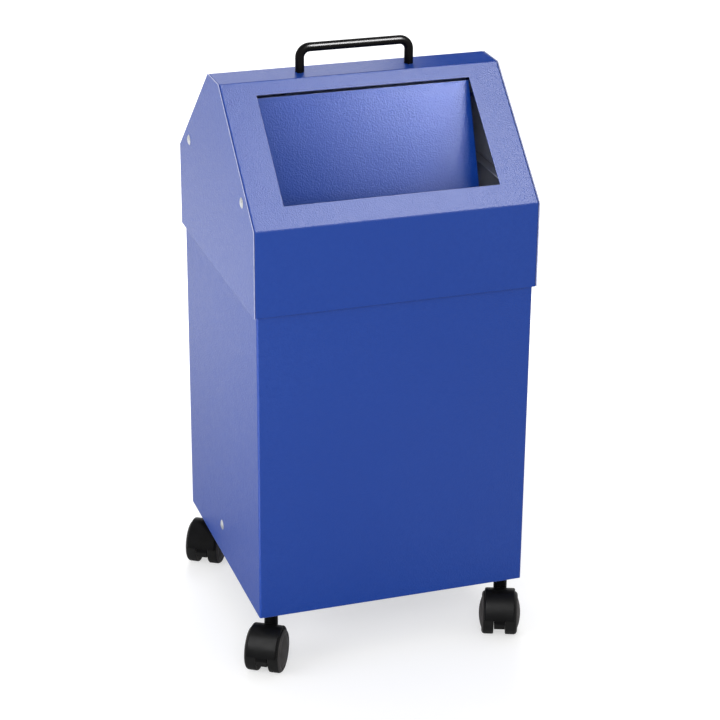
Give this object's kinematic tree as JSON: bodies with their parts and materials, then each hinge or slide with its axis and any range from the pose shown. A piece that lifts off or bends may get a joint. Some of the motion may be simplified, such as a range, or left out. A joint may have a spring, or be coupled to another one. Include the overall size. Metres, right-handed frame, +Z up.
{
  "type": "wheeled recycling bin",
  "caption": "Square sheet-steel recycling bin on swivel castors, with a lift-off sloped hood, push-in flap and bow handle.",
  "frame": {"origin": "on the floor under the middle of the bin", "axes": "+Z up, front with the throw-in mouth towards -Y, +X to the right seen from the front"},
  "size_m": [0.3552, 0.3685, 0.678],
  "materials": {
    "blue_coat": "fine-textured satin powder coat",
    "rivet_alloy": "satin",
    "handle_black": "gloss",
    "castor_body": "satin",
    "castor_wheel": "satin",
    "bush_nylon": "satin",
    "zinc_steel": "bright zinc plate"
  },
  "bodies": {
    "bin": {"body_shell": "blue_coat", "base_tray": "blue_coat", "base_rivets": "rivet_alloy", "castor_nuts": "zinc_steel", "corner_plate_front_left": "zinc_steel", "castor_stem_front_left": "zinc_steel", "corner_plate_front_right": "zinc_steel", "castor_stem_front_right": "zinc_steel", "corner_plate_back_right": "zinc_steel", "castor_stem_back_right": "zinc_steel", "corner_plate_back_left": "zinc_steel", "castor_stem_back_left": "zinc_steel"},
    "hood": {"hood_cover": "blue_coat", "hood_rivets": "rivet_alloy", "carry_handle": "handle_black", "hinge_rod": "zinc_steel", "hood_gable_left": "blue_coat", "hinge_bracket_left": "zinc_steel", "hood_gable_right": "blue_coat", "hinge_bracket_right": "zinc_steel", "hinge_rod_caps": "zinc_steel", "handle_screws": "zinc_steel", "handle_washers": "zinc_steel"},
    "flap": {"flap_panel": "blue_coat", "flap_counterweight": "zinc_steel", "flap_bushes": "bush_nylon"},
    "castor_front_left": {"castor_housing_front_left": "castor_body", "castor_axle_front_left": "zinc_steel"},
    "wheel_front_left_left": {"castor_wheel_front_left_left": "castor_wheel"},
    "wheel_front_left_right": {"castor_wheel_front_left_right": "castor_wheel"},
    "castor_front_right": {"castor_housing_front_right": "castor_body", "castor_axle_front_right": "zinc_steel"},
    "wheel_front_right_left": {"castor_wheel_front_right_left": "castor_wheel"},
    "wheel_front_right_right": {"castor_wheel_front_right_right": "castor_wheel"},
    "castor_back_right": {"castor_housing_back_right": "castor_body", "castor_axle_back_right": "zinc_steel"},
    "wheel_back_right_left": {"castor_wheel_back_right_left": "castor_wheel"},
    "wheel_back_right_right": {"castor_wheel_back_right_right": "castor_wheel"},
    "castor_back_left": {"castor_housing_back_left": "castor_body", "castor_axle_back_left": "zinc_steel"},
    "wheel_back_left_left": {"castor_wheel_back_left_left": "castor_wheel"},
    "wheel_back_left_right": {"castor_wheel_back_left_right": "castor_wheel"}
  },
  "joints": [
    {"name": "hood_lift", "type": "slide", "parent": "bin", "child": "hood", "axis": [0, 0, 1], "range_m": [0, 0.3]},
    {"name": "flap_swing", "type": "hinge", "parent": "hood", "child": "flap", "pos_m": [0, -0.0256, 0.62214], "axis": [1, 0, 0], "range_deg": [-30.8, 45]},
    {"name": "castor_swivel_front_left", "type": "hinge", "parent": "bin", "child": "castor_front_left", "pos_m": [-0.1385, -0.134, 0], "axis": [0, 0, 1], "continuous": true},
    {"name": "wheel_spin_front_left_left", "type": "hinge", "parent": "castor_front_left", "child": "wheel_front_left_left", "pos_m": [-0.1488, -0.15114, 0.025], "axis": [0.8572, -0.515, 0], "continuous": true},
    {"name": "wheel_spin_front_left_right", "type": "hinge", "parent": "castor_front_left", "child": "wheel_front_left_right", "pos_m": [-0.1488, -0.15114, 0.025], "axis": [0.8572, -0.515, 0], "continuous": true},
    {"name": "castor_swivel_front_right", "type": "hinge", "parent": "bin", "child": "castor_front_right", "pos_m": [0.1385, -0.134, 0], "axis": [0, 0, 1], "continuous": true},
    {"name": "wheel_spin_front_right_left", "type": "hinge", "parent": "castor_front_right", "child": "wheel_front_right_left", "pos_m": [0.13133, -0.15267, 0.025], "axis": [0.9336, -0.3584, 0], "continuous": true},
    {"name": "wheel_spin_front_right_right", "type": "hinge", "parent": "castor_front_right", "child": "wheel_front_right_right", "pos_m": [0.13133, -0.15267, 0.025], "axis": [0.9336, -0.3584, 0], "continuous": true},
    {"name": "castor_swivel_back_right", "type": "hinge", "parent": "bin", "child": "castor_back_right", "pos_m": [0.1385, 0.134, 0], "axis": [0, 0, 1], "continuous": true},
    {"name": "wheel_spin_back_right_left", "type": "hinge", "parent": "castor_back_right", "child": "wheel_back_right_left", "pos_m": [0.1485, 0.15132, 0.025], "axis": [-0.866, 0.5, 0], "continuous": true},
    {"name": "wheel_spin_back_right_right", "type": "hinge", "parent": "castor_back_right", "child": "wheel_back_right_right", "pos_m": [0.1485, 0.15132, 0.025], "axis": [-0.866, 0.5, 0], "continuous": true},
    {"name": "castor_swivel_back_left", "type": "hinge", "parent": "bin", "child": "castor_back_left", "pos_m": [-0.1385, 0.134, 0], "axis": [0, 0, 1], "continuous": true},
    {"name": "wheel_spin_back_left_left", "type": "hinge", "parent": "castor_back_left", "child": "wheel_back_left_left", "pos_m": [-0.1485, 0.11668, 0.025], "axis": [0.866, -0.5, 0], "continuous": true},
    {"name": "wheel_spin_back_left_right", "type": "hinge", "parent": "castor_back_left", "child": "wheel_back_left_right", "pos_m": [-0.1485, 0.11668, 0.025], "axis": [0.866, -0.5, 0], "continuous": true}
  ]
}
